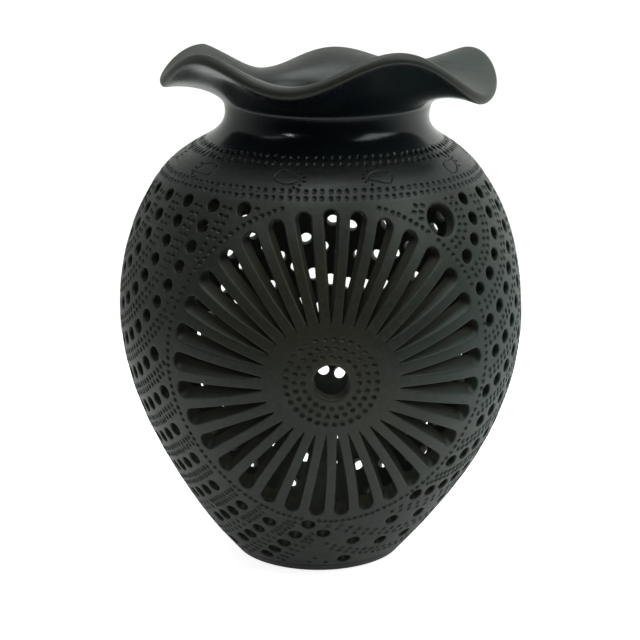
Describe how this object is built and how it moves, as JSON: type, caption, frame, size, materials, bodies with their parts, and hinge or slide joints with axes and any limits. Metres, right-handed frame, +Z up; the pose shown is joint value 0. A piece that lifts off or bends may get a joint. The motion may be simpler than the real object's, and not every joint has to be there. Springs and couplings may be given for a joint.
{
  "type": "pierced clay vase",
  "caption": "Egg-shaped black clay vase on a flat foot, its belly pierced by a cut rosette and arcs of round holes, with a burnished shoulder and neck and a ruffled, flaring rim.",
  "frame": {"origin": "on the surface the pot stands on, under the middle of its bounding box, which is under the middle of the belly", "axes": "+Z up the pot from foot to rim; -Y is the front, the side with the cut rosette; +X is the right-hand side seen from the front"},
  "size_m": [0.1999, 0.1997, 0.2586],
  "materials": {
    "satin_clay": "smoke-fired black clay, scraped and lightly burnished to a satin graphite grey",
    "burnished_clay": "smoke-fired black clay burnished with quartz to a deep gloss"
  },
  "bodies": {
    "root": {"foot_disc": "satin_clay", "pierced_belly": "satin_clay", "shoulder_ring": "burnished_clay", "neck_collar": "burnished_clay", "ruffled_rim": "burnished_clay"}
  },
  "joints": []
}
